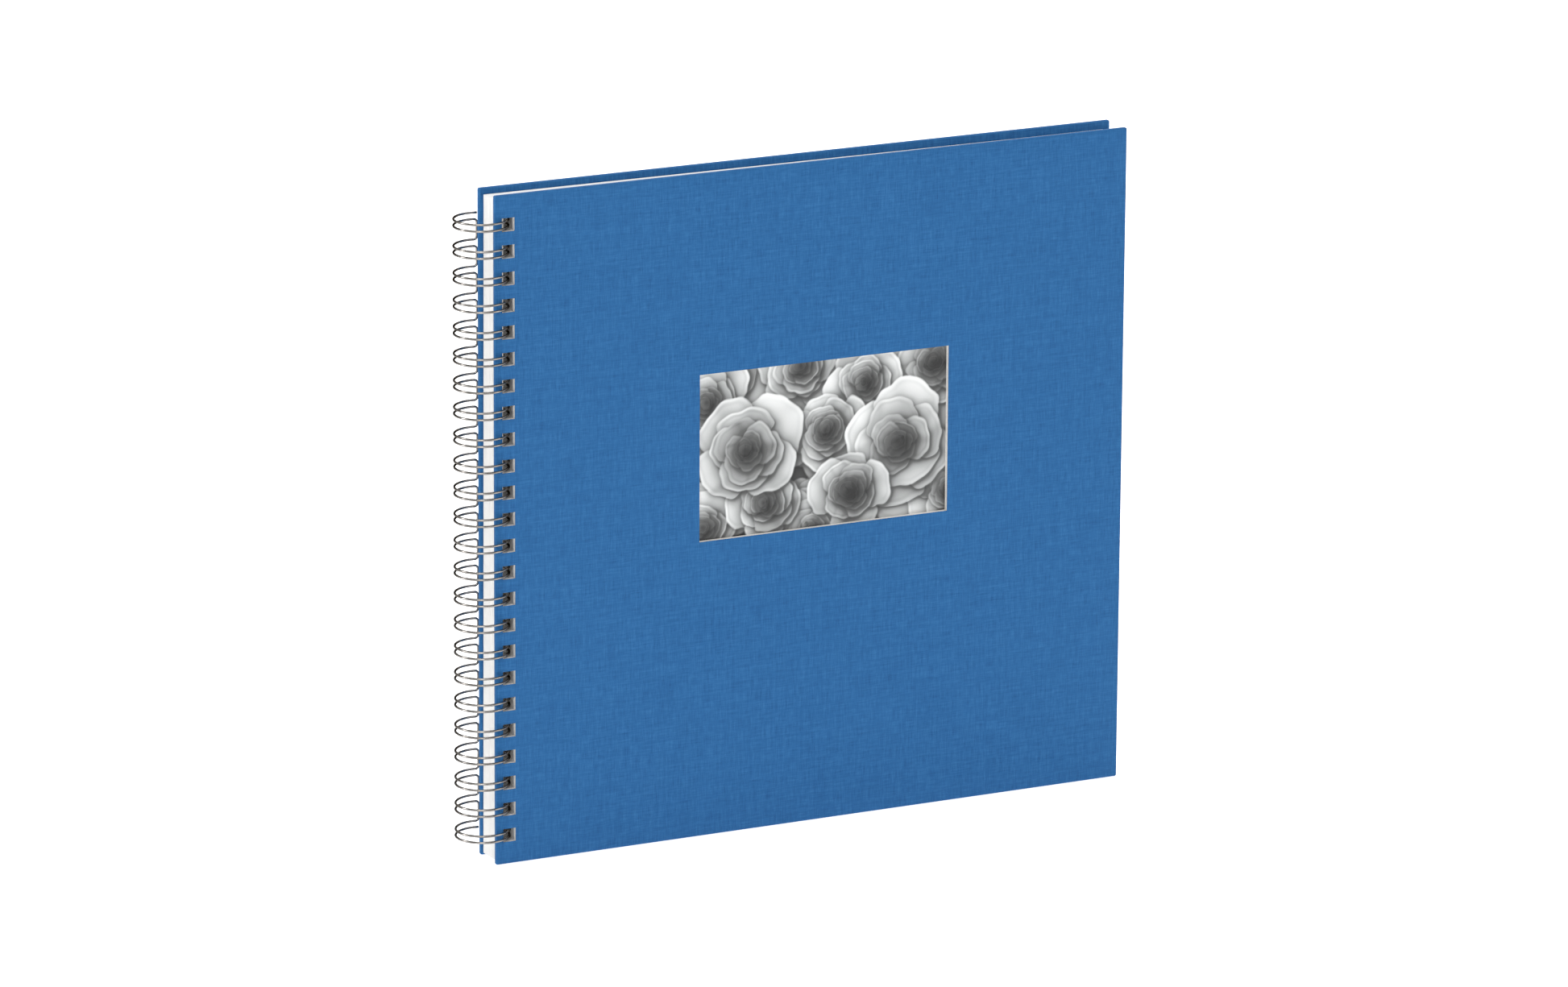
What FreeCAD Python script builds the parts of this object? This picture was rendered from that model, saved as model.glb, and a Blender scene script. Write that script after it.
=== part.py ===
import FreeCAD, Part
import math
import os

V = FreeCAD.Vector
os.makedirs("parts", exist_ok=True)

# ---- overall sizes, mm. The album stands upright: +X runs from the spine to the
# ---- fore edge, -Y is the front cover's outer face, +Z is up.
COVER_W = 328.0            # spine edge to fore edge
COVER_H = 320.0
ALBUM_T = 20.0             # closed, over both covers
CLOTH_T = 0.3
BOARD_T = 2.1
LINING_T = 0.25
LINING_LAP_T = 0.2         # the lining where it lies on the turned-in cloth
TURN_IN = 15.0             # cloth folded onto the inner face of a board
LINING_INSET = 4.0         # the lining stops this far from the cover's edges
LINING_STEP = 0.3          # width of the lining's step down onto the board
CORNER_R = 1.2

# ---- punched hole row
HOLES = 24
PITCH = 12.7
HOLE = 6.4
HOLE_EDGE = 6.7            # hole centre to the spine edge of a sheet

# ---- leaves
LEAVES = 20
LEAF_SLOT = 0.7
LEAF_T = 0.6
LEAF_INSET = 0.95           # at the foot; the tilt adds 1.1 at the head
LEAF_W = 325.2
LEAF_H = 315.8
LEAF_Z = 0.15              # lower fore-edge corner above the standing face
LEAF_TILT = 0.2            # degrees: the block hangs on the wire and has settled at the fore edge

# ---- window in the front cover, and what is behind it
WIN_X = 104.3              # from the spine edge
WIN_Z = 143.6              # from the bottom
WIN_W = 130.0
WIN_H = 80.6
WIN_R = 0.6
PRINT_W = 152.4
PRINT_H = 101.6
PRINT_T = 0.23
POCKET_RIM = 6.0
POCKET_GAP = 0.6
POCKET_FIT = 0.4

# ---- twin-loop binding wire
WIRE_D = 1.1
RING_R = 12.55             # centreline radius of the closed loops
RING_OUT = 2.53            # ring axis to the spine edge
LEG = 1.55                 # each of a loop's two wires to the loop's middle
ROOT_DEG = -74.0
ROOT_BEND = 1.5
TIP_GAP = 1.7              # root line to the middle of the closing tip
ARCS = 6                   # equal arcs that each hairpin leg is made of

# frame: origin at the middle of the overall box, on the standing face
LEFT = RING_OUT + RING_R + WIRE_D / 2
X0 = -(COVER_W - LEFT) / 2 # x of the spine edge
XR = X0 - RING_OUT         # x of the ring axis
MID = ALBUM_T / 2
IN_N = MID - CLOTH_T - BOARD_T                  # inner face of a board
COVER_IN = IN_N - CLOTH_T - LINING_LAP_T        # innermost face of a cover


def box(x0, x1, n0, n1, z0, z1, side=-1):
    """A block between two distances n from the album's middle plane, on the front (-1) or back (+1) side."""
    y0, y1 = sorted((side * n0, side * n1))
    return Part.makeBox(x1 - x0, y1 - y0, z1 - z0, V(x0, y0, z0))


def rounded(x0, x1, n0, n1, z0, z1, r, side=-1):
    """The same with its four edges along Y rounded."""
    b = box(x0, x1, n0, n1, z0, z1, side)
    upright = [e for e in b.Edges if abs(abs(e.tangentAt(e.FirstParameter).y) - 1) < 1e-6]
    return b.makeFillet(r, upright)


def hole_cutter(n0, n1, side, x_mid, z_mid):
    """All the square punches of one sheet."""
    cuts = []
    for i in range(HOLES):
        z = z_mid + (i - (HOLES - 1) / 2) * PITCH
        cuts.append(box(x_mid - HOLE / 2, x_mid + HOLE / 2, n0, n1, z - HOLE / 2, z + HOLE / 2, side))
    return Part.makeCompound(cuts)


def one(shape):
    solids = shape.removeSplitter().Solids
    assert len(solids) == 1, len(solids)
    assert solids[0].isValid()
    return solids[0]


def write(name, shape):
    shape.exportStep(f"parts/{name}.step")
    b = shape.BoundBox
    print(f"{name:22s} {shape.Volume:10.1f} mm3  x {b.XMin:8.2f} {b.XMax:8.2f}  y {b.YMin:7.2f} {b.YMax:7.2f}  z {b.ZMin:7.2f} {b.ZMax:7.2f}")


X1 = X0 + COVER_W
WX0, WX1 = X0 + WIN_X, X0 + WIN_X + WIN_W
WZ0, WZ1 = WIN_Z, WIN_Z + WIN_H
CX, CZ = (WX0 + WX1) / 2, (WZ0 + WZ1) / 2
PX0, PX1 = CX - PRINT_W / 2, CX + PRINT_W / 2
PZ0, PZ1 = CZ - PRINT_H / 2, CZ + PRINT_H / 2
KX0, KX1 = PX0 - POCKET_GAP - POCKET_RIM, PX1 + POCKET_GAP + POCKET_RIM
KZ0, KZ1 = PZ0 - POCKET_GAP - POCKET_RIM, PZ1


def cover(side):
    punches = hole_cutter(COVER_IN - 2, MID + 2, side, X0 + HOLE_EDGE, COVER_H / 2)
    # stiff board inside the cloth
    board = rounded(X0 + CLOTH_T, X1 - CLOTH_T, IN_N, MID - CLOTH_T, CLOTH_T, COVER_H - CLOTH_T, CORNER_R - CLOTH_T, side)
    # cloth over the outer face, round all four edges, and turned in on the inner face
    cloth = rounded(X0, X1, IN_N - CLOTH_T, MID, 0, COVER_H, CORNER_R, side)
    cloth = cloth.cut(board)
    cloth = cloth.cut(box(X0 + TURN_IN, X1 - TURN_IN, IN_N - CLOTH_T - 1, IN_N + 0.001, TURN_IN, COVER_H - TURN_IN, side))
    # the lining laps the turned-in cloth and steps down onto the board inside it
    lap = box(X0 + LINING_INSET, X1 - LINING_INSET, COVER_IN, IN_N - CLOTH_T, LINING_INSET, COVER_H - LINING_INSET, side)
    step = box(X0 + TURN_IN, X1 - TURN_IN, COVER_IN, IN_N, TURN_IN, COVER_H - TURN_IN, side)
    inner = TURN_IN + LINING_STEP
    well = box(X0 + inner, X1 - inner, COVER_IN - 1, IN_N - LINING_T, inner, COVER_H - inner, side)
    lining = lap.fuse(step).cut(well)
    if side < 0:
        window = rounded(WX0, WX1, IN_N - 1, MID + 1, WZ0, WZ1, WIN_R, side)
        board = board.cut(window)
        cloth = cloth.cut(rounded(WX0, WX1, IN_N + 0.5, MID + 1, WZ0, WZ1, WIN_R, side))
        lining = lining.cut(box(KX0 - POCKET_FIT, KX1 + POCKET_FIT, COVER_IN - 1, IN_N + 1, KZ0 - POCKET_FIT, KZ1 + POCKET_FIT, side))
    return one(board.cut(punches)), one(cloth.cut(punches)), one(lining.cut(punches))


for side, name in ((-1, "front"), (1, "back")):
    board, cloth, lining = cover(side)
    write(f"{name}_cover_board", board)
    write(f"{name}_cover_cloth", cloth)
    write(f"{name}_endpaper", lining)

# print behind the window, and the pocket card that holds it, glued along three rims
write("window_print", one(box(PX0, PX1, IN_N - PRINT_T, IN_N, PZ0, PZ1)))
card = box(KX0, KX1, COVER_IN, IN_N, KZ0, KZ1)
card = card.cut(box(PX0 - POCKET_GAP, PX1 + POCKET_GAP, IN_N - PRINT_T - 0.02, IN_N + 1, PZ0 - POCKET_GAP, PZ1 + 1))
write("window_pocket_card", one(card))

# leaves, leaf_01 next to the front cover. Each is turned a little about its
# lower fore-edge corner, so that it hangs on the wire at the spine
LX1 = X0 + LEAF_INSET + LEAF_W
for i in range(LEAVES):
    y = (i - (LEAVES - 1) / 2) * LEAF_SLOT
    sheet = Part.makeBox(LEAF_W, LEAF_T, LEAF_H, V(X0 + LEAF_INSET, y - LEAF_T / 2, LEAF_Z))
    cuts = []
    xm = X0 + LEAF_INSET + HOLE_EDGE
    for k in range(HOLES):
        z = LEAF_Z + LEAF_H / 2 + (k - (HOLES - 1) / 2) * PITCH
        cuts.append(Part.makeBox(HOLE, LEAF_T + 2, HOLE, V(xm - HOLE / 2, y - LEAF_T / 2 - 1, z - HOLE / 2)))
    sheet = one(sheet.cut(Part.makeCompound(cuts)))
    sheet.rotate(V(LX1, 0, LEAF_Z), V(0, 1, 0), LEAF_TILT)
    write(f"leaf_{i + 1:02d}", sheet)


# twin-loop wire: every loop is a hairpin bent round the ring axis; neighbouring
# hairpins are joined by straight root runs on the outside of the back cover
def at(deg, radius=RING_R, z=0.0):
    a = math.radians(deg)
    return V(XR + radius * math.cos(a), -radius * math.sin(a), z)


def along(deg):
    """Unit direction round the ring as the ring angle falls."""
    a = math.radians(deg)
    return V(math.sin(a), math.cos(a), 0)


R = WIRE_D / 2
BEND_DEG = math.degrees(ROOT_BEND / RING_R)
TIP_DEG = math.degrees(TIP_GAP / RING_R)
U_DEG = math.degrees(LEG / RING_R)
LEG_START = ROOT_DEG - BEND_DEG                  # ring angle where a leg leaves its root bend
LEG_END = ROOT_DEG + TIP_DEG + U_DEG             # ring angle where the legs run into the tip
SWEEP = 360 - (LEG_END - LEG_START)
UP = V(0, 0, 1)


def leg(z, part):
    """One of the ARCS equal arcs of a hairpin's leg."""
    step = SWEEP / ARCS
    t = Part.makeTorus(RING_R, R, V(0, 0, 0), UP, -180, 180, step)
    # swept angles grow from +X towards +Y, which is a falling ring angle
    t.rotate(V(0, 0, 0), UP, -LEG_START + part * step)
    t.translate(V(XR, 0, z))
    return t


def bend(centre, start, finish_dir, radius, sweep):
    """A piece of round wire bent about centre: start is the unit direction from
    centre to its first end, finish_dir the unit direction it first moves along."""
    axis = start.cross(finish_dir)
    t = Part.makeTorus(radius, R, V(0, 0, 0), UP, -180, 180, sweep)
    m = FreeCAD.Matrix(
        start.x, finish_dir.x, axis.x, centre.x,
        start.y, finish_dir.y, axis.y, centre.y,
        start.z, finish_dir.z, axis.z, centre.z,
        0, 0, 0, 1)
    t.transformShape(m)
    return t


pieces = []
for k in range(HOLES):
    zc = COVER_H / 2 + (k - (HOLES - 1) / 2) * PITCH
    for s in (-1, 1):
        pieces += [leg(zc + s * LEG, part) for part in range(ARCS)]
    pieces.append(bend(at(LEG_END, z=zc), V(0, 0, -1), along(LEG_END), LEG, 180))
    back = along(LEG_START).negative()
    start = at(LEG_START, z=zc + LEG)
    if k == 0:
        # the wire's two cut ends stop straight
        pieces.append(Part.makeCylinder(R, ROOT_BEND, at(LEG_START, z=zc - LEG), back))
    if k == HOLES - 1:
        pieces.append(Part.makeCylinder(R, ROOT_BEND, start, back))
        continue
    # the root between this hairpin and the next: bend, straight run, bend
    run = PITCH - 2 * LEG - 2 * ROOT_BEND
    c0 = start + V(0, 0, ROOT_BEND)
    c1 = c0 + V(0, 0, run)
    root = bend(c0, V(0, 0, -1), back, ROOT_BEND, 90)
    root = root.multiFuse([Part.makeCylinder(R, run, c0 + back * ROOT_BEND, V(0, 0, 1)),
                           bend(c1, V(0, 0, 1), back, ROOT_BEND, 90)])
    pieces.append(one(root))

# neighbouring pieces of the one wire meet face to face
for p in pieces:
    assert len(p.Solids) == 1 and p.isValid()
wire = Part.makeCompound([p.Solids[0] for p in pieces])
print("wire pieces", len(wire.Solids))
write("binding_wire", wire)
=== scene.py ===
import math

import bmesh
import bpy
import numpy as np
from mathutils import Matrix, Vector


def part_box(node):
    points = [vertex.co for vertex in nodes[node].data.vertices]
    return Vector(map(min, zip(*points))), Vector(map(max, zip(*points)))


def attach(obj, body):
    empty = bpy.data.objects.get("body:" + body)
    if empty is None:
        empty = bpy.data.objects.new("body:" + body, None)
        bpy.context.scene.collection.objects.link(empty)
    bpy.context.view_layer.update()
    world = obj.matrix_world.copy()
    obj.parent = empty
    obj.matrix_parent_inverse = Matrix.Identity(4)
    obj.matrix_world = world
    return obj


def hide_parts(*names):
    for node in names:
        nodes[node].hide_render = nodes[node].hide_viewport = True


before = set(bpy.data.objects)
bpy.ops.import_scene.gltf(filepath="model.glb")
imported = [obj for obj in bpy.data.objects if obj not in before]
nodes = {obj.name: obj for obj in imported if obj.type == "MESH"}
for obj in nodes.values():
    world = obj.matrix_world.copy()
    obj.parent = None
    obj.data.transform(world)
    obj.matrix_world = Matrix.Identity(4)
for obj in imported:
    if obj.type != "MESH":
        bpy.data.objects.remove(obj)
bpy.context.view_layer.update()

MM = 0.001
RNG = np.random.default_rng(7)

# ---------------------------------------------------------------- sizes, mm
COVER_W, COVER_H, ALBUM_T = 328.0, 320.0, 20.0
RING_R, RING_OUT, WIRE_D, LEG = 12.55, 2.53, 1.1, 1.55
X0 = -(COVER_W - (RING_OUT + RING_R + WIRE_D / 2)) / 2
X1 = X0 + COVER_W
XR = X0 - RING_OUT
MID = ALBUM_T / 2
CLOTH_T, BOARD_T = 0.3, 2.1
IN_N = MID - CLOTH_T - BOARD_T
HOLES, PITCH, HOLE, HOLE_EDGE = 24, 12.7, 6.4, 6.7
TURN_IN = 15.0
WX0, WX1, WZ0, WZ1 = X0 + 104.3, X0 + 234.3, 143.6, 224.2


# ---------------------------------------------------------------- node helper
class Mat:
    """A material with a Principled shader, and short ways to add nodes."""

    def __init__(self, name):
        self.m = bpy.data.materials.new(name)
        self.m.use_nodes = True
        self.t = self.m.node_tree
        self.t.nodes.clear()
        self.out = self.t.nodes.new("ShaderNodeOutputMaterial")
        self.bsdf = self.t.nodes.new("ShaderNodeBsdfPrincipled")
        self.t.links.new(self.bsdf.outputs[0], self.out.inputs[0])

    def set(self, **values):
        for k, v in values.items():
            self.bsdf.inputs[k.replace("_", " ")].default_value = v
        return self

    def put(self, socket, target):
        """Joins an output to an input, or sets the input if a plain value is given."""
        if isinstance(socket, bpy.types.NodeSocket):
            self.t.links.new(socket, target)
        else:
            target.default_value = socket

    def node(self, kind, **props):
        n = self.t.nodes.new(kind)
        for k, v in props.items():
            setattr(n, k, v)
        return n

    def math(self, op, a, b=0.0, c=None, clamp=False):
        n = self.node("ShaderNodeMath", operation=op, use_clamp=clamp)
        self.put(a, n.inputs[0])
        self.put(b, n.inputs[1])
        if c is not None:
            self.put(c, n.inputs[2])
        return n.outputs[0]

    def uv(self, name="mm"):
        return self.node("ShaderNodeUVMap", uv_map=name).outputs[0]

    def coord(self):
        return self.node("ShaderNodeTexCoord").outputs["Object"]

    def scale(self, vec, s, loc=(0, 0, 0)):
        n = self.node("ShaderNodeMapping")
        self.put(vec, n.inputs[0])
        n.inputs["Scale"].default_value = s
        n.inputs["Location"].default_value = loc
        return n.outputs[0]

    def noise(self, vec, scale=1.0, detail=2.0, rough=0.5, dist=0.0):
        n = self.node("ShaderNodeTexNoise")
        self.put(vec, n.inputs["Vector"])
        n.inputs["Scale"].default_value = scale
        n.inputs["Detail"].default_value = detail
        n.inputs["Roughness"].default_value = rough
        n.inputs["Distortion"].default_value = dist
        return n.outputs["Fac"]

    def ramp(self, fac, stops, interp="LINEAR"):
        n = self.node("ShaderNodeValToRGB")
        n.color_ramp.interpolation = interp
        e = n.color_ramp.elements
        while len(e) < len(stops):
            e.new(0.5)
        for el, (p, c) in zip(e, stops):
            el.position = p
            el.color = (*c, 1) if len(c) == 3 else c
        self.put(fac, n.inputs[0])
        return n.outputs[0]

    def mix(self, fac, a, b, mode="MIX"):
        n = self.node("ShaderNodeMix", data_type="RGBA", blend_type=mode)
        self.put(fac, n.inputs["Factor"])
        for v, s in ((a, n.inputs[6]), (b, n.inputs[7])):
            self.put((*v, 1) if isinstance(v, tuple) and len(v) == 3 else v, s)
        return n.outputs[2]

    def sep(self, vec):
        n = self.node("ShaderNodeSeparateXYZ")
        self.put(vec, n.inputs[0])
        return n.outputs

    def comb(self, x, y, z=0.0):
        n = self.node("ShaderNodeCombineXYZ")
        for v, s in zip((x, y, z), n.inputs):
            self.put(v, s)
        return n.outputs[0]

    def bump(self, height, distance, strength=1.0):
        n = self.node("ShaderNodeBump")
        n.inputs["Distance"].default_value = distance
        n.inputs["Strength"].default_value = strength
        self.put(height, n.inputs["Height"])
        self.t.links.new(n.outputs[0], self.bsdf.inputs["Normal"])

    def color(self, c):
        self.put(c, self.bsdf.inputs["Base Color"])

    def rough(self, r):
        self.put(r, self.bsdf.inputs["Roughness"])


def cloth_material():
    """Fine linen-weave book cloth. UVs are in millimetres along the two thread directions."""
    m = Mat("book_cloth")
    uv = m.uv()
    u, v, _ = m.sep(uv)
    pitch = 0.52
    # threads wander a little
    ju = m.math("MULTIPLY", m.math("SUBTRACT", m.noise(m.scale(uv, (0.9, 0.09, 1))), 0.5), 0.5)
    jv = m.math("MULTIPLY", m.math("SUBTRACT", m.noise(m.scale(uv, (0.09, 0.9, 1), (7, 3, 0))), 0.5), 0.5)
    uu, vv = m.math("ADD", u, ju), m.math("ADD", v, jv)
    su = m.math("SINE", m.math("MULTIPLY", uu, 2 * math.pi / pitch))
    sv = m.math("SINE", m.math("MULTIPLY", vv, 2 * math.pi / pitch))
    weave = m.math("MULTIPLY_ADD", m.math("MULTIPLY", su, sv), 0.5, 0.5)
    # slubs: threads thicker or lighter over short lengths, along both directions
    warp = m.noise(m.scale(uv, (2.1, 0.16, 1), (3, 9, 0)), detail=3, rough=0.62)
    weft = m.noise(m.scale(uv, (0.16, 2.1, 1), (11, 5, 0)), detail=3, rough=0.62)
    warp_l = m.noise(m.scale(uv, (0.75, 0.035, 1), (1, 2, 0)), detail=2)
    weft_l = m.noise(m.scale(uv, (0.035, 0.75, 1), (5, 8, 0)), detail=2)
    thread = m.math("ADD", m.math("MULTIPLY", warp, 0.55), m.math("MULTIPLY", weft, 0.45))
    wide = m.math("ADD", m.math("MULTIPLY", warp_l, 0.5), m.math("MULTIPLY", weft_l, 0.5))
    cloud = m.noise(m.scale(uv, (0.02, 0.02, 1)), detail=3)
    tone = m.math("ADD", m.math("MULTIPLY", thread, 0.7), m.math("MULTIPLY", wide, 0.3))
    base = m.ramp(tone, [(0.36, (0.0091, 0.073, 0.216)), (0.5, (0.0176, 0.1214, 0.3158)), (0.64, (0.0394, 0.1805, 0.4157))])
    base = m.mix(m.math("MULTIPLY", m.math("SUBTRACT", 1.0, weave), 0.38), base, (0.0084, 0.0749, 0.2227))
    base = m.mix(m.math("MULTIPLY", cloud, 0.16), base, (0.0217, 0.1334, 0.337))
    m.color(base)
    m.rough(m.math("MULTIPLY_ADD", thread, 0.25, 0.62))
    m.set(Sheen_Weight=0.10, Sheen_Roughness=0.45, Specular_IOR_Level=0.22)
    m.bump(m.math("ADD", m.math("MULTIPLY", weave, 0.6), m.math("MULTIPLY", thread, 0.9)), 0.00009, 0.8)
    return m.m


def board_material():
    m = Mat("raw_board")
    c = m.coord()
    lay = m.noise(m.scale(c, (500, 5200, 500)), detail=3)
    spot = m.noise(m.scale(c, (900, 900, 900)), detail=4, rough=0.7)
    f = m.math("ADD", m.math("MULTIPLY", lay, 0.6), m.math("MULTIPLY", spot, 0.4))
    m.color(m.ramp(f, [(0.32, (0.72, 0.68, 0.63)), (0.5, (0.86, 0.83, 0.79)), (0.68, (0.93, 0.915, 0.89))]))
    m.rough(m.math("MULTIPLY_ADD", spot, 0.1, 0.86))
    m.set(Specular_IOR_Level=0.2)
    m.bump(f, 0.00008, 0.8)
    return m.m


def paper_material(name, tint, seed):
    m = Mat(name)
    c = m.coord()
    fibre = m.noise(m.scale(c, (1400, 1400, 1400), (seed, 0, 0)), detail=4, rough=0.65)
    cloud = m.noise(m.scale(c, (60, 60, 60), (0, seed, 0)), detail=3)
    f = m.math("ADD", m.math("MULTIPLY", fibre, 0.6), m.math("MULTIPLY", cloud, 0.4))
    dark = tuple(v * 0.965 for v in tint)
    m.color(m.ramp(f, [(0.3, dark), (0.7, tint)]))
    m.rough(m.math("MULTIPLY_ADD", fibre, 0.12, 0.72))
    m.set(Specular_IOR_Level=0.25)
    m.bump(fibre, 0.00002, 0.6)
    return m.m


def steel_material():
    m = Mat("plated_wire")
    c = m.coord()
    fine = m.noise(m.scale(c, (2500, 2500, 2500)), detail=3)
    dull = m.noise(m.scale(c, (220, 220, 220)), detail=2)
    m.color(m.ramp(dull, [(0.35, (0.235, 0.222, 0.208)), (0.65, (0.345, 0.327, 0.308))]))
    m.rough(m.math("MULTIPLY_ADD", m.math("ADD", m.math("MULTIPLY", fine, 0.5), m.math("MULTIPLY", dull, 0.5)), 0.12, 0.10))
    m.set(Metallic=1.0, Specular_Tint=(0.06, 0.055, 0.05, 1))
    m.bump(fine, 0.000008, 0.5)
    return m.m


def print_material():
    m = Mat("flower_print")
    a = m.node("ShaderNodeAttribute", attribute_name="tone", attribute_type="GEOMETRY")
    grain = m.noise(m.scale(m.coord(), (2600, 2600, 2600)), detail=2)
    tone = m.math("ADD", a.outputs["Fac"], m.math("MULTIPLY", m.math("SUBTRACT", grain, 0.5), 0.05))
    m.color(m.ramp(tone, [(0.0, (0.012, 0.012, 0.012)), (0.35, (0.115, 0.117, 0.115)), (0.7, (0.43, 0.44, 0.435)), (1.0, (0.86, 0.87, 0.86))]))
    m.rough(m.math("MULTIPLY_ADD", grain, 0.06, 0.34))
    m.set(Specular_IOR_Level=0.35)
    return m.m


CLOTH, BOARD, STEEL, PRINT = cloth_material(), board_material(), steel_material(), print_material()
LEAF = paper_material("leaf_card", (0.85, 0.843, 0.828), 3)
LINING = paper_material("lining_paper", (0.84, 0.83, 0.80), 11)
CARD = paper_material("pocket_card", (0.80, 0.79, 0.765), 23)


# ---------------------------------------------------------------- mesh helpers
def add(name, bm, material, smooth=True):
    me = bpy.data.meshes.new(name)
    bm.to_mesh(me)
    bm.free()
    me.materials.append(material)
    o = bpy.data.objects.new(name, me)
    bpy.context.scene.collection.objects.link(o)
    if smooth:
        me.polygons.foreach_set("use_smooth", [True] * len(me.polygons))
    return o


def weave_uvs(o, seed=(0.0, 0.0)):
    """UVs in millimetres, laid along the two axes that each face runs in."""
    me = o.data
    uv = me.uv_layers.new(name="mm")
    loops = len(me.loops)
    vi = np.empty(loops, np.int32)
    me.loops.foreach_get("vertex_index", vi)
    co = np.empty(len(me.vertices) * 3)
    me.vertices.foreach_get("co", co)
    co = co.reshape(-1, 3)[vi] * 1000
    nor = np.empty(len(me.polygons) * 3)
    me.polygons.foreach_get("normal", nor)
    tot = np.empty(len(me.polygons), np.int32)
    me.polygons.foreach_get("loop_total", tot)
    n = np.abs(np.repeat(nor.reshape(-1, 3), tot, axis=0))
    out = np.where((n[:, 1] >= n[:, 0]) [:, None] & (n[:, 1] >= n[:, 2])[:, None], co[:, [0, 2]],
                   np.where((n[:, 0] >= n[:, 2])[:, None], co[:, [1, 2]], co[:, [0, 1]]))
    uv.data.foreach_set("uv", (out + np.array(seed)).ravel())


def hole_rects(x_mid, z_mid, size=HOLE):
    h = size / 2
    return [(x_mid - h, x_mid + h, z_mid + (i - (HOLES - 1) / 2) * PITCH - h, z_mid + (i - (HOLES - 1) / 2) * PITCH + h)
            for i in range(HOLES)]


def cells(xs, zs, holes):
    for a, b in zip(xs, xs[1:]):
        for c, d in zip(zs, zs[1:]):
            x, z = (a + b) / 2, (c + d) / 2
            if not any(h[0] < x < h[1] and h[2] < z < h[3] for h in holes):
                yield a, b, c, d


def splits(lo, hi, more, step):
    """Sorted cut lines from lo to hi that include more, with long gaps divided."""
    s = sorted({round(v, 5) for v in [lo, hi, *more] if lo - 1e-6 <= v <= hi + 1e-6})
    out = []
    for a, b in zip(s, s[1:]):
        k = max(1, int(math.ceil((b - a) / step)))
        out += [a + (b - a) * i / k for i in range(k)]
    return out + [s[-1]]


def cloth_cover(name, side, holes):
    """The cloth of one cover: outer face, four rounded edges and the turn-in, with its own thickness."""
    bm = bmesh.new()
    cuts_x = [v for h in holes for v in h[:2]] + [X0 + TURN_IN, X1 - TURN_IN]
    cuts_z = [v for h in holes for v in h[2:]] + [TURN_IN, COVER_H - TURN_IN]
    xs, zs = splits(X0, X1, cuts_x, 40), splits(0, COVER_H, cuts_z, 40)
    n_out, n_in = MID, IN_N - CLOTH_T
    vert = {}

    def v(x, n, z):
        k = (round(x, 4), round(n, 4), round(z, 4))
        if k not in vert:
            vert[k] = bm.verts.new((x * MM, side * n * MM, z * MM))
        return vert[k]

    def quad(a, b, c, d):
        try:
            bm.faces.new((a, b, c, d))
        except ValueError:
            pass

    for a, b, c, d in cells(xs, zs, holes):
        quad(v(a, n_out, c), v(b, n_out, c), v(b, n_out, d), v(a, n_out, d))
    middle = [(X0 + TURN_IN, X1 - TURN_IN, TURN_IN, COVER_H - TURN_IN)]
    punches = [h for h in holes if h[1] - h[0] < 10]
    for a, b, c, d in cells(xs, zs, punches + middle):
        quad(v(a, n_in, c), v(a, n_in, d), v(b, n_in, d), v(b, n_in, c))
    for x in (X0, X1):
        for c, d in zip(zs, zs[1:]):
            quad(v(x, n_out, c), v(x, n_out, d), v(x, n_in, d), v(x, n_in, c))
    for z in (0.0, COVER_H):
        for a, b in zip(xs, xs[1:]):
            quad(v(a, n_out, z), v(b, n_out, z), v(b, n_in, z), v(a, n_in, z))
    bmesh.ops.recalc_face_normals(bm, faces=bm.faces)
    # outward normals: the outer face must look away from the album's middle
    f = next(f for f in bm.faces if abs(f.calc_center_median().y - side * n_out * MM) < 1e-7)
    if f.normal.y * side < 0:
        bmesh.ops.reverse_faces(bm, faces=bm.faces)
    edge = []
    for e in bm.edges:
        p, q = e.verts[0].co, e.verts[1].co
        fs = e.link_faces
        if len(fs) == 2 and fs[0].normal.dot(fs[1].normal) < 0.5:
            edge.append(e)
    bmesh.ops.bevel(bm, geom=edge, offset=0.9 * MM, segments=5, profile=0.5, affect="EDGES")
    o = add(name, bm, CLOTH)
    s = o.modifiers.new("thickness", "SOLIDIFY")
    s.thickness = CLOTH_T * MM * 0.98
    s.offset = -1
    s.use_even_offset = True
    apply_mods(o)
    me = o.data
    bm = bmesh.new()
    bm.from_mesh(me)
    for e in bm.edges:
        e.smooth = not (len(e.link_faces) == 2 and e.calc_face_angle(0) > 0.7)
    bm.to_mesh(me)
    bm.free()
    weave_uvs(o, (0.0, 0.0) if side < 0 else (31.0, 17.0))
    return o


def apply_mods(o):
    dg = bpy.context.evaluated_depsgraph_get()
    me = bpy.data.meshes.new_from_object(o.evaluated_get(dg))
    old = o.data
    o.modifiers.clear()
    o.data = me
    bpy.data.meshes.remove(old)


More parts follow.
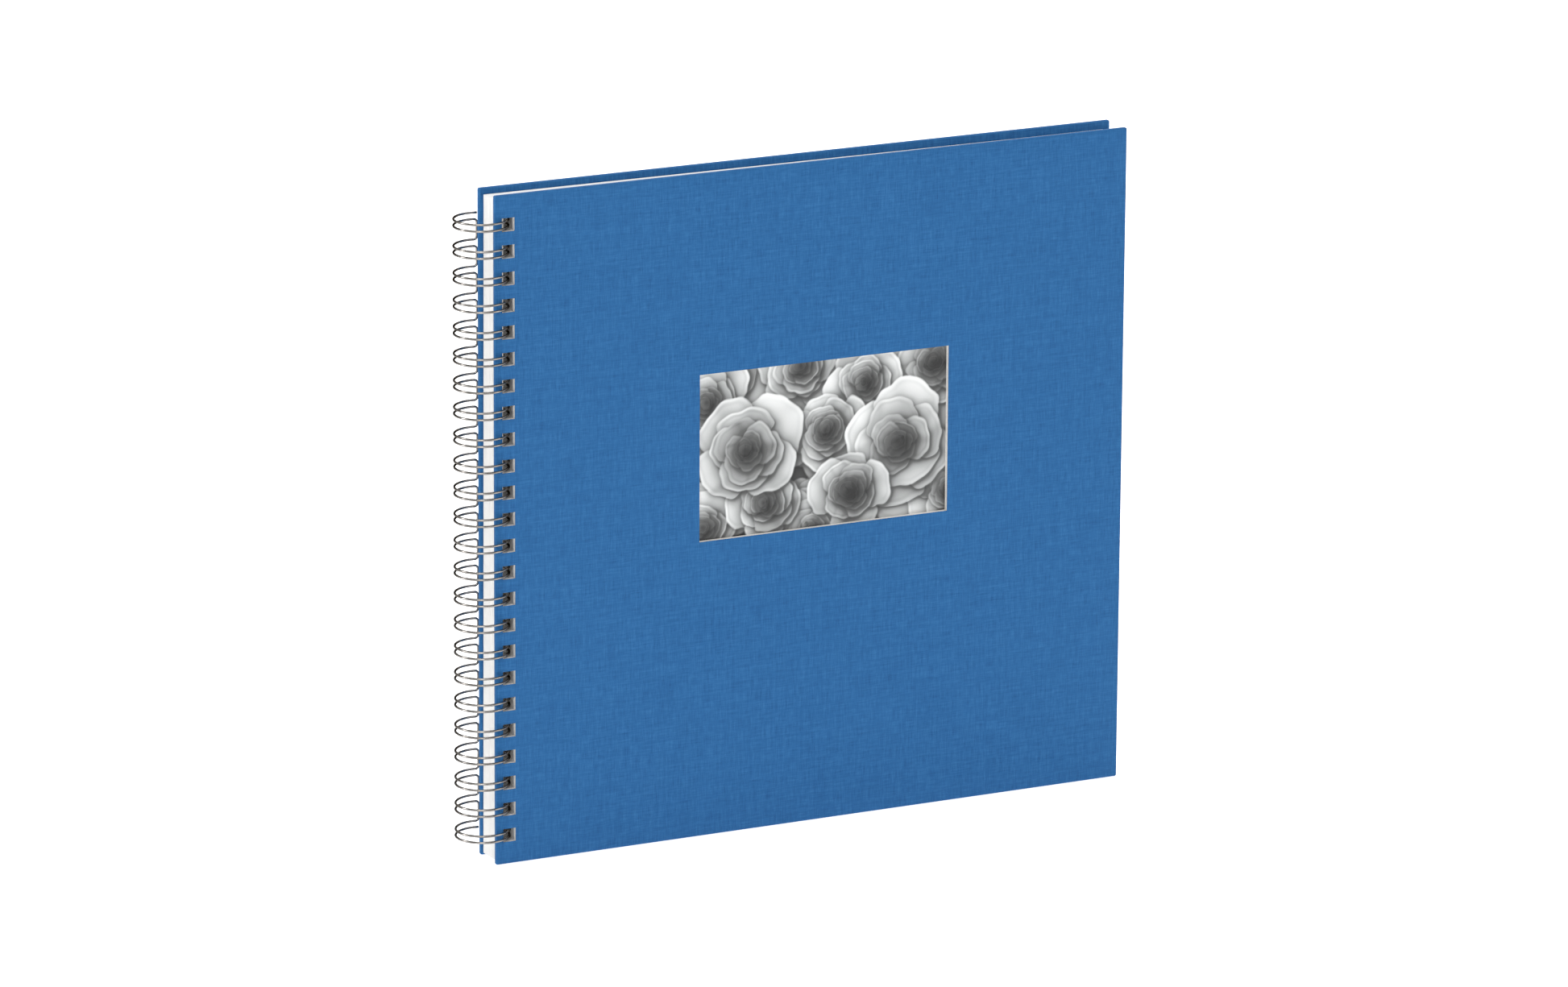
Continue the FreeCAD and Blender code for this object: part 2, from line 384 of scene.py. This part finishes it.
def leaf(name, y, shift, holes):
    """One card leaf: a sheet with square punches, its long edges eased, and a very slight shift and tilt."""
    bm = bmesh.new()
    t = LEAF_T / 2
    w, h = LEAF_W, LEAF_H
    lx, lz = X0 + LEAF_IN, LEAF_Z
    xs = splits(lx, lx + w, [v for r in holes for v in r[:2]], 30)
    zs = splits(lz, lz + h, [v for r in holes for v in r[2:]], 30)
    vert = {}

    def v(x, s, z):
        k = (round(x, 4), s, round(z, 4))
        if k not in vert:
            vert[k] = bm.verts.new((x, s * t, z))
        return vert[k]

    area = list(cells(xs, zs, holes))
    for a, b, c, d in area:
        bm.faces.new((v(a, -1, c), v(b, -1, c), v(b, -1, d), v(a, -1, d)))
        bm.faces.new((v(a, 1, c), v(a, 1, d), v(b, 1, d), v(b, 1, c)))
    filled = {(round(a, 4), round(b, 4), round(c, 4), round(d, 4)) for a, b, c, d in area}

    def has(a, b, c, d):
        return (round(a, 4), round(b, 4), round(c, 4), round(d, 4)) in filled

    nx, nz = len(xs) - 1, len(zs) - 1
    for i in range(nx):
        for j in range(nz):
            if not has(xs[i], xs[i + 1], zs[j], zs[j + 1]):
                continue
            a, b, c, d = xs[i], xs[i + 1], zs[j], zs[j + 1]
            if i == 0 or not has(xs[i - 1], xs[i], c, d):
                bm.faces.new((v(a, -1, c), v(a, -1, d), v(a, 1, d), v(a, 1, c)))
            if i == nx - 1 or not has(xs[i + 1], xs[min(i + 2, nx)], c, d):
                bm.faces.new((v(b, -1, c), v(b, 1, c), v(b, 1, d), v(b, -1, d)))
            if j == 0 or not has(a, b, zs[j - 1], zs[j]):
                bm.faces.new((v(a, -1, c), v(a, 1, c), v(b, 1, c), v(b, -1, c)))
            if j == nz - 1 or not has(a, b, zs[j + 1], zs[min(j + 2, nz)]):
                bm.faces.new((v(a, -1, d), v(b, -1, d), v(b, 1, d), v(a, 1, d)))
    bmesh.ops.recalc_face_normals(bm, faces=bm.faces)
    sharp = [e for e in bm.edges if len(e.link_faces) == 2 and e.calc_face_angle(0) > 1.2]
    bmesh.ops.bevel(bm, geom=sharp, offset=0.06, segments=2, profile=0.5, affect="EDGES")
    # the block hangs on the wire and has settled at the fore edge: each sheet turns about its lower fore-edge corner
    dx, tilt = shift
    cx, cz, a = lx + w, lz, math.radians(tilt)
    for p in bm.verts:
        x, z = p.co.x - cx, p.co.z - cz
        p.co.x = cx + dx + x * math.cos(a) + z * math.sin(a)
        p.co.z = cz - x * math.sin(a) + z * math.cos(a)
        p.co.y += y
        p.co *= MM
    o = add(name, bm, LEAF, smooth=False)
    return o


def tube(name, path, radius, sides, material):
    """A round wire along a path of points, mm."""
    p = np.array(path, float)
    keep = np.r_[True, np.linalg.norm(np.diff(p, axis=0), axis=1) > 1e-4]
    p = p[keep]
    t = np.gradient(p, axis=0)
    t /= np.linalg.norm(t, axis=1)[:, None]
    # parallel-transported frame, so that the skin never twists
    a = np.cross(t[0], [0, 0, 1.0])
    if np.linalg.norm(a) < 1e-6:
        a = np.cross(t[0], [1.0, 0, 0])
    a /= np.linalg.norm(a)
    frames = [a]
    for k in range(1, len(p)):
        a = frames[-1] - t[k] * np.dot(frames[-1], t[k])
        frames.append(a / np.linalg.norm(a))
    n = np.array(frames)
    b = np.cross(t, n)
    ang = np.linspace(0, 2 * np.pi, sides, endpoint=False)
    ring = p[:, None] + radius * (np.cos(ang)[None, :, None] * n[:, None] + np.sin(ang)[None, :, None] * b[:, None])
    count = len(p)
    verts = np.concatenate([ring.reshape(-1, 3), p[:1] - t[0] * radius * 0.15, p[-1:] + t[-1] * radius * 0.15]) * MM
    i = np.arange(count - 1)[:, None] * sides + np.arange(sides)[None]
    j = np.arange(count - 1)[:, None] * sides + (np.arange(sides)[None] + 1) % sides
    quads = np.stack([i, j, j + sides, i + sides], -1).reshape(-1, 4)
    faces = quads.tolist()
    s, e = count * sides, count * sides + 1
    faces += [(s, (k + 1) % sides, k) for k in range(sides)]
    last = (count - 1) * sides
    faces += [(e, last + k, last + (k + 1) % sides) for k in range(sides)]
    me = bpy.data.meshes.new(name)
    me.from_pydata(verts.tolist(), [], faces)
    me.polygons.foreach_set("use_smooth", [True] * len(me.polygons))
    me.materials.append(material)
    me.update()
    o = bpy.data.objects.new(name, me)
    bpy.context.scene.collection.objects.link(o)
    return o


# ---------------------------------------------------------------- covers
punched = hole_rects(X0 + HOLE_EDGE, COVER_H / 2)
window = (WX0, WX1, WZ0, WZ1)
cloth_front = cloth_cover("cloth_front", -1, punched + [window])
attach(cloth_front, "front_cover")
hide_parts("front_cover_cloth")
cloth_back = cloth_cover("cloth_back", 1, punched)
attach(cloth_back, "back_cover")
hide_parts("back_cover_cloth")


def paint(node, material):
    o = nodes[node]
    if not o.data.materials:
        o.data.materials.append(material)
    for k in range(len(o.data.materials)):
        o.data.materials[k] = material


for n in ("front_cover_board", "back_cover_board"):
    paint(n, BOARD)
for n in ("front_endpaper", "back_endpaper"):
    paint(n, LINING)
paint("window_pocket_card", CARD)

# ---------------------------------------------------------------- leaves
LEAF_T, LEAF_W, LEAF_H = 0.6, 325.2, 315.8
LEAF_IN, LEAF_Z, LEAF_TILT = 0.95, 0.15, 0.2
leaf_punches = hole_rects(X0 + LEAF_IN + HOLE_EDGE, LEAF_Z + LEAF_H / 2)
for i in range(20):
    node = f"leaf_{i + 1:02d}"
    a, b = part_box(node)
    y = (a[1] + b[1]) / 2 / MM
    shift = (float(RNG.uniform(-0.06, 0.06)), LEAF_TILT + float(RNG.uniform(-0.015, 0.015)))
    o = leaf(f"sheet_{i + 1:02d}", y, shift, leaf_punches)
    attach(o, node)
    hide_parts(node)

# ---------------------------------------------------------------- wire
ROOT_DEG, ROOT_BEND, TIP_GAP = -74.0, 1.5, 1.7
BEND_DEG = math.degrees(ROOT_BEND / RING_R)
LEG_START = ROOT_DEG - BEND_DEG
LEG_END = ROOT_DEG + math.degrees(TIP_GAP / RING_R) + math.degrees(LEG / RING_R)


def ring(deg, z):
    a = math.radians(deg)
    return np.array([XR + RING_R * math.cos(a), -RING_R * math.sin(a), z])


def along(deg):
    a = math.radians(deg)
    return np.array([math.sin(a), math.cos(a), 0.0])


def wire_path():
    pts = []
    back = -along(LEG_START)
    up = np.array([0, 0, 1.0])
    sweep = 360 - (LEG_END - LEG_START)
    degs = LEG_START - np.linspace(0, sweep, 110)
    for k in range(HOLES):
        zc = COVER_H / 2 + (k - (HOLES - 1) / 2) * PITCH
        z0, z1 = zc - LEG, zc + LEG
        start, stop = ring(LEG_START, z0), ring(LEG_START, z1)
        if k == 0:
            pts.append(start + back * ROOT_BEND)
        else:
            c = start - up * ROOT_BEND
            for a in np.linspace(0, math.pi / 2, 8)[:-1]:
                pts.append(c + back * ROOT_BEND * math.cos(a) + up * ROOT_BEND * math.sin(a))
        pts += [ring(d, z0) for d in degs]
        tip, ahead = ring(degs[-1], zc), along(degs[-1])
        for a in np.linspace(-math.pi / 2, math.pi / 2, 15)[1:-1]:
            pts.append(tip + ahead * LEG * math.cos(a) + up * LEG * math.sin(a))
        pts += [ring(d, z1) for d in degs[::-1]]
        if k == HOLES - 1:
            pts.append(stop + back * ROOT_BEND)
        else:
            c = stop + up * ROOT_BEND
            for a in np.linspace(0, math.pi / 2, 8)[1:]:
                pts.append(c - up * ROOT_BEND * math.cos(a) + back * ROOT_BEND * math.sin(a))
            run = PITCH - 2 * LEG - 2 * ROOT_BEND
            for s in (0.25, 0.5, 0.75):
                pts.append(c + back * ROOT_BEND + up * run * s)
    return pts


wire = tube("twin_loop_wire", wire_path(), WIRE_D / 2, 14, STEEL)
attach(wire, "binding")
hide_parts("binding_wire")


# ---------------------------------------------------------------- print
def flower_tones(x, z):
    """Tones of an invented black-and-white picture of packed garden flowers, for points given in mm over the print."""
    rng = np.random.default_rng(19)
    img = np.full(x.shape, 0.10) + 0.05 * np.sin(x * 0.21 + z * 0.13)
    wob = lambda k: 0.35 * np.sin(x * 0.19 * k + 1.3 * k) + 0.35 * np.cos(z * 0.23 * k - 0.7 * k)
    xw, zw = x + 0.9 * wob(1.0), z + 0.9 * wob(1.7)

    def petal(cx, cz, ang, a, b, tone, curl, seed):
        """One petal: a axis runs across it, b axis outwards along ang."""
        nonlocal img
        r = np.random.default_rng(seed)
        ca, sa = math.cos(ang), math.sin(ang)
        q = (xw - cx) * ca + (zw - cz) * sa
        p = -(xw - cx) * sa + (zw - cz) * ca
        ph = np.arctan2(p / a, q / b)
        wave = 1 + 0.045 * np.sin(3 * ph + r.uniform(0, 6)) + 0.03 * np.sin(5 * ph + r.uniform(0, 6)) + 0.02 * np.sin(9 * ph + r.uniform(0, 6))
        d = np.sqrt((p / a) ** 2 + (q / b) ** 2) / wave
        size = math.sqrt(a * b)
        edge = 0.35 / size
        inside = np.clip((1 + edge - d) / (2 * edge), 0, 1)
        # shadow thrown down and to the right
        qs = (xw - 0.8 - cx) * ca + (zw + 0.9 - cz) * sa
        ps = -(xw - 0.8 - cx) * sa + (zw + 0.9 - cz) * ca
        ds = np.sqrt((ps / a) ** 2 + (qs / b) ** 2) / wave
        img *= 1 - 0.55 * np.exp(-np.clip(ds - 1, 0, None) * size / 1.5) * np.clip((d - 1) * size / 0.4, 0, 1)
        out = np.clip(q / b * 0.5 + 0.5, 0, 1)
        v = tone * (0.72 + 0.28 * out ** 0.7)
        # soft folds running outwards
        for _ in range(3):
            p0, w = r.uniform(-0.8, 0.8) * a, r.uniform(0.10, 0.34) * a
            v = v - r.uniform(-0.02, 0.12) * np.exp(-(((p - p0 - 0.25 * r.uniform(-1, 1) * q) / w) ** 2)) * (0.35 + 0.65 * out)
        # side light: each cupped petal is paler on the side that faces up and to the left
        v = v + 0.09 * (-(xw - cx) * 0.6 + (zw - cz) * 0.8) / size
        # the rim curls over: a pale lip, and a soft shadow inside it
        lip = r.uniform(0.2, 1.0) * curl
        v = v + lip * np.exp(-(((d - 0.94) / 0.05) ** 2)) * out ** 2
        v = v - 0.9 * lip * np.exp(-(((d - 0.82) / 0.06) ** 2)) * out ** 2
        img = img * (1 - inside) + np.clip(v, 0.03, 0.97) * inside

    def rose(cx, cz, size, turn, dark, seed):
        r = np.random.default_rng(seed)
        rings = [(0.80, 4, 0.78, 0.56, 0.97), (0.52, 4, 0.60, 0.46, 0.95), (0.33, 3, 0.50, 0.38, 0.86),
                 (0.21, 3, 0.35, 0.28, 0.70), (0.11, 3, 0.24, 0.20, 0.52), (0.04, 2, 0.15, 0.13, 0.36)]
        for k, (dist, n, wide, long, tone) in enumerate(rings):
            for j in range(n):
                ang = turn + k * 0.83 + j * 2 * math.pi / n + r.uniform(-0.3, 0.3)
                s = size * r.uniform(0.88, 1.12)
                petal(cx + dist * s * math.cos(ang), cz + dist * s * math.sin(ang) * 0.92, ang,
                      wide * s * r.uniform(0.85, 1.15), long * s, np.clip(tone - dark * (1 - dist) + r.uniform(-0.10, 0.05), 0.1, 0.97),
                      0.13, int(r.integers(1 << 30)))
        img_dark = np.exp(-(((xw - cx) ** 2 + (zw - cz) ** 2) / (0.09 * size) ** 2))
        nonlocal img
        img = img * (1 - 0.6 * img_dark)

    # loose petals behind, then the flowers, back to front
    for _ in range(46):
        petal(rng.uniform(-72, 72), rng.uniform(-46, 46), rng.uniform(0, 6.28), rng.uniform(10, 19), rng.uniform(9, 16),
              rng.uniform(0.7, 0.97), 0.1, int(rng.integers(1 << 30)))
    for cx, cz, size, turn, dark, seed in (
        (58, 33, 17, 0.4, 0.25, 1), (-12, 38, 18, 1.1, 0.0, 2), (22, 27, 15, 2.0, 0.1, 12), (-60, 26, 17, 2.3, 0.05, 3), (-6, -42, 16, 0.9, 0.0, 4),
        (66, -30, 16, 0.2, 0.1, 5), (-62, -34, 18, 1.9, 0.0, 6), (2, 6, 15, 0.0, 0.15, 7), (-30, -26, 14, 2.8, 0.05, 13),
        (-40, 1, 21, 0.7, 0.2, 8), (40, -4, 22, 2.6, 0.2, 9), (14, -25, 15, 1.5, 0.35, 10)):
        rose(cx, cz, size, turn, dark, seed)
    return np.clip(img, 0, 1)


def make_print():
    lo, hi = (np.array(v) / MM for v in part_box("window_print"))
    cx, cz = (lo[0] + hi[0]) / 2, (lo[2] + hi[2]) / 2
    step = 0.34
    xs = np.r_[lo[0], np.linspace(WX0 - 1, WX1 + 1, int((WX1 - WX0 + 2) / step)), hi[0]]
    zs = np.r_[lo[2], np.linspace(WZ0 - 1, WZ1 + 1, int((WZ1 - WZ0 + 2) / step)), hi[2]]
    gx, gz = np.meshgrid(xs, zs)
    tones = flower_tones(gx - cx, gz - cz)
    nx, nz = len(xs), len(zs)
    y_front, y_back = lo[1], hi[1]
    front = np.stack([gx, np.full_like(gx, y_front), gz], -1).reshape(-1, 3)
    verts = front.tolist()
    i = (np.arange(nz - 1)[:, None] * nx + np.arange(nx - 1)[None]).ravel()
    faces = np.stack([i, i + 1, i + 1 + nx, i + nx], -1).tolist()
    rim = [*range(nx), *[(k + 1) * nx - 1 for k in range(1, nz)], *range(nz * nx - 2, (nz - 1) * nx - 1, -1), *[k * nx for k in range(nz - 2, 0, -1)]]
    base = len(verts)
    verts += [[verts[k][0], y_back, verts[k][2]] for k in rim]
    n = len(rim)
    faces += [[rim[(k + 1) % n], rim[k], base + k, base + (k + 1) % n] for k in range(n)]
    faces.append([base + k for k in range(n)][::-1])
    me = bpy.data.meshes.new("flower_picture")
    me.from_pydata((np.array(verts) * MM).tolist(), [], faces)
    me.update()
    at = me.attributes.new("tone", "FLOAT", "POINT")
    at.data.foreach_set("value", np.r_[tones.ravel(), np.full(n, 0.9)].astype(np.float32))
    me.materials.append(PRINT)
    o = bpy.data.objects.new("flower_picture", me)
    bpy.context.scene.collection.objects.link(o)
    return o


picture = make_print()
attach(picture, "front_cover")
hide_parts("window_print")

# ---------------------------------------------------------------- stage
def stage_floor():
    """A plain pale floor, open on every side so that the album is seen from all round."""
    half = 30.0
    me = bpy.data.meshes.new("floor")
    me.from_pydata([(-half, -half, 0), (half, -half, 0), (half, half, 0), (-half, half, 0)], [], [(0, 1, 2, 3)])
    me.update()
    mat = Mat("studio_paper")
    mat.color(mat.ramp(mat.noise(mat.coord(), 3.0), [(0.3, (0.93, 0.93, 0.93)), (0.7, (0.96, 0.96, 0.96))]))
    mat.set(Roughness=0.9, Emission_Color=(1, 1, 1, 1), Emission_Strength=0.62)
    me.materials.append(mat.m)
    o = bpy.data.objects.new("floor", me)
    bpy.context.scene.collection.objects.link(o)


stage_floor()


def light(name, pos, aim, size, power, colour=(1, 1, 1), size_y=None):
    d = bpy.data.lights.new(name, "AREA")
    d.energy, d.size, d.color = power, size, colour
    if size_y:
        d.shape, d.size_y = "RECTANGLE", size_y
    o = bpy.data.objects.new(name, d)
    o.location = pos
    o.rotation_euler = (Vector(aim) - Vector(pos)).to_track_quat("-Z", "Y").to_euler()
    bpy.context.scene.collection.objects.link(o)


light("key", (-1.5, -2.3, 2.0), (0, 0, 0.15), 1.2, 23)
light("fill", (2.0, -2.0, 1.3), (0, 0, 0.15), 1.4, 12)
light("top", (0.1, 0.2, 2.6), (0, 0, 0), 1.8, 34)
light("back", (0.9, 2.4, 1.8), (0, 0, 0.15), 1.4, 24)
light("front", (-1.3, -2.9, 0.9), (-0.1, 0, 0.16), 0.9, 9)
light("left_strip", (-1.9, 0.5, 0.9), (-0.16, 0, 0.16), 0.35, 15, size_y=1.6)

world = bpy.data.worlds.new("studio")
bpy.context.scene.world = world
world.use_nodes = True
wt = world.node_tree
bg = wt.nodes["Background"]
tc = wt.nodes.new("ShaderNodeTexCoord")
sp = wt.nodes.new("ShaderNodeSeparateXYZ")
rp = wt.nodes.new("ShaderNodeValToRGB")
wt.links.new(tc.outputs["Generated"], sp.inputs[0])
wt.links.new(sp.outputs["Z"], rp.inputs[0])
rp.color_ramp.elements[0].position, rp.color_ramp.elements[0].color = 0.0, (0.10, 0.10, 0.105, 1)
rp.color_ramp.elements[1].position, rp.color_ramp.elements[1].color = 0.55, (0.95, 0.95, 0.96, 1)
wt.links.new(rp.outputs[0], bg.inputs[0])
bg.inputs[1].default_value = 0.36

# ---------------------------------------------------------------- camera
YAW, PITCH_A, ROLL = math.radians(26.51), math.radians(15.44), math.radians(0.36)
T = np.array([-133.72, 173.06, 4163.71])
R0 = np.array([[1, 0, 0], [0, 0, -1], [0, 1, 0]], float)
cy, sy = math.cos(YAW), math.sin(YAW)
cp, sp_ = math.cos(PITCH_A), math.sin(PITCH_A)
cr, sr = math.cos(ROLL), math.sin(ROLL)
RZ = np.array([[cy, -sy, 0], [sy, cy, 0], [0, 0, 1]])
RX = np.array([[1, 0, 0], [0, cp, -sp_], [0, sp_, cp]])
RR = np.array([[cr, -sr, 0], [sr, cr, 0], [0, 0, 1]])
RM = RR @ RX @ (R0 @ RZ)
C = -RM.T @ T + np.array([X0, -MID, 0])
cam_data = bpy.data.cameras.new("camera")
cam_data.sensor_fit = "HORIZONTAL"
cam_data.sensor_width = 36
cam_data.lens = 36 * 11106.68 / 1946
cam_data.clip_end = 100
cam = bpy.data.objects.new("camera", cam_data)
rot = Matrix((RM[0], -RM[1], -RM[2])).transposed()
cam.matrix_world = Matrix.Translation(Vector(C * MM)) @ rot.to_4x4()
bpy.context.scene.collection.objects.link(cam)
bpy.context.scene.camera = cam
bpy.context.scene.view_settings.view_transform = "Standard"
